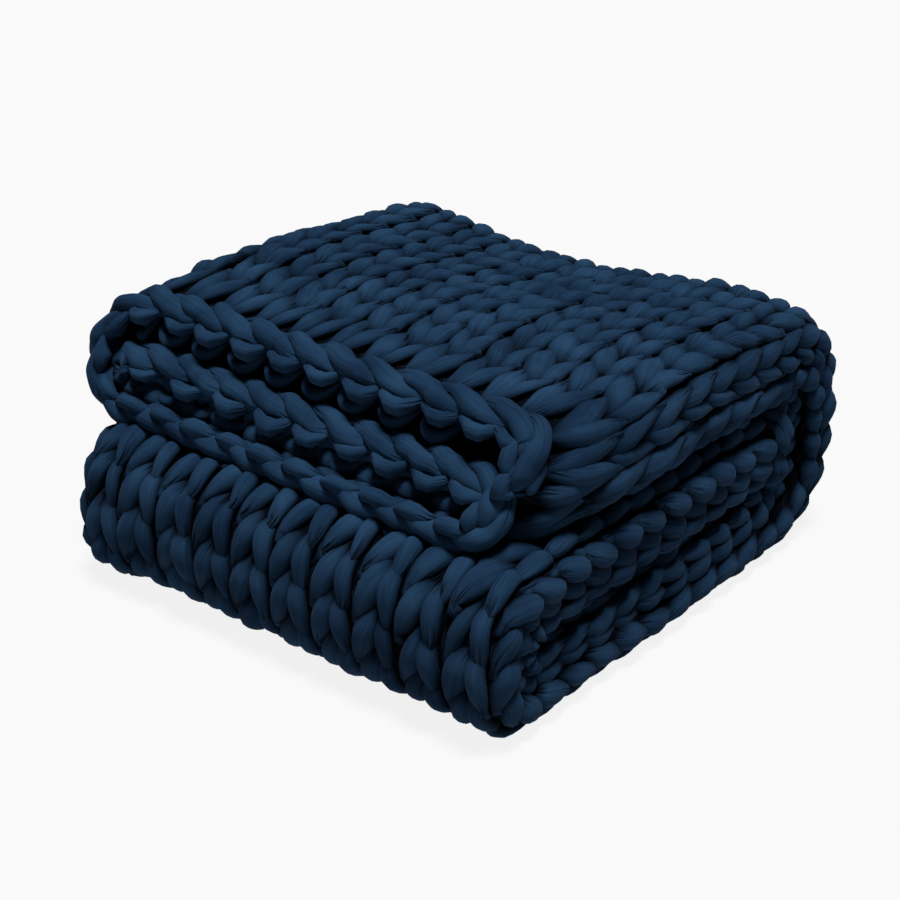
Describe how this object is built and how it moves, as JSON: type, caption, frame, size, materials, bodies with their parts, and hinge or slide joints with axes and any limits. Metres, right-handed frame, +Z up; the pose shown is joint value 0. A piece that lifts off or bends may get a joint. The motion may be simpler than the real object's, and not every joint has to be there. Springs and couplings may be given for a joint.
{
  "type": "weighted blanket",
  "caption": "Chunky hand-knitted weighted blanket, folded in three across and in three along into a low square stack that rests flat, with an open end at the front.",
  "frame": {"origin": "middle of the base, on the surface that the folded blanket rests on", "axes": "+Z up, +X along the open folded end that faces forward, +Y back from it"},
  "size_m": [0.4083, 0.4227, 0.2012],
  "materials": {
    "navy_jersey": "matt cotton jersey tube yarn, dark navy"
  },
  "bodies": {
    "root": {"blanket": "navy_jersey"}
  },
  "joints": []
}
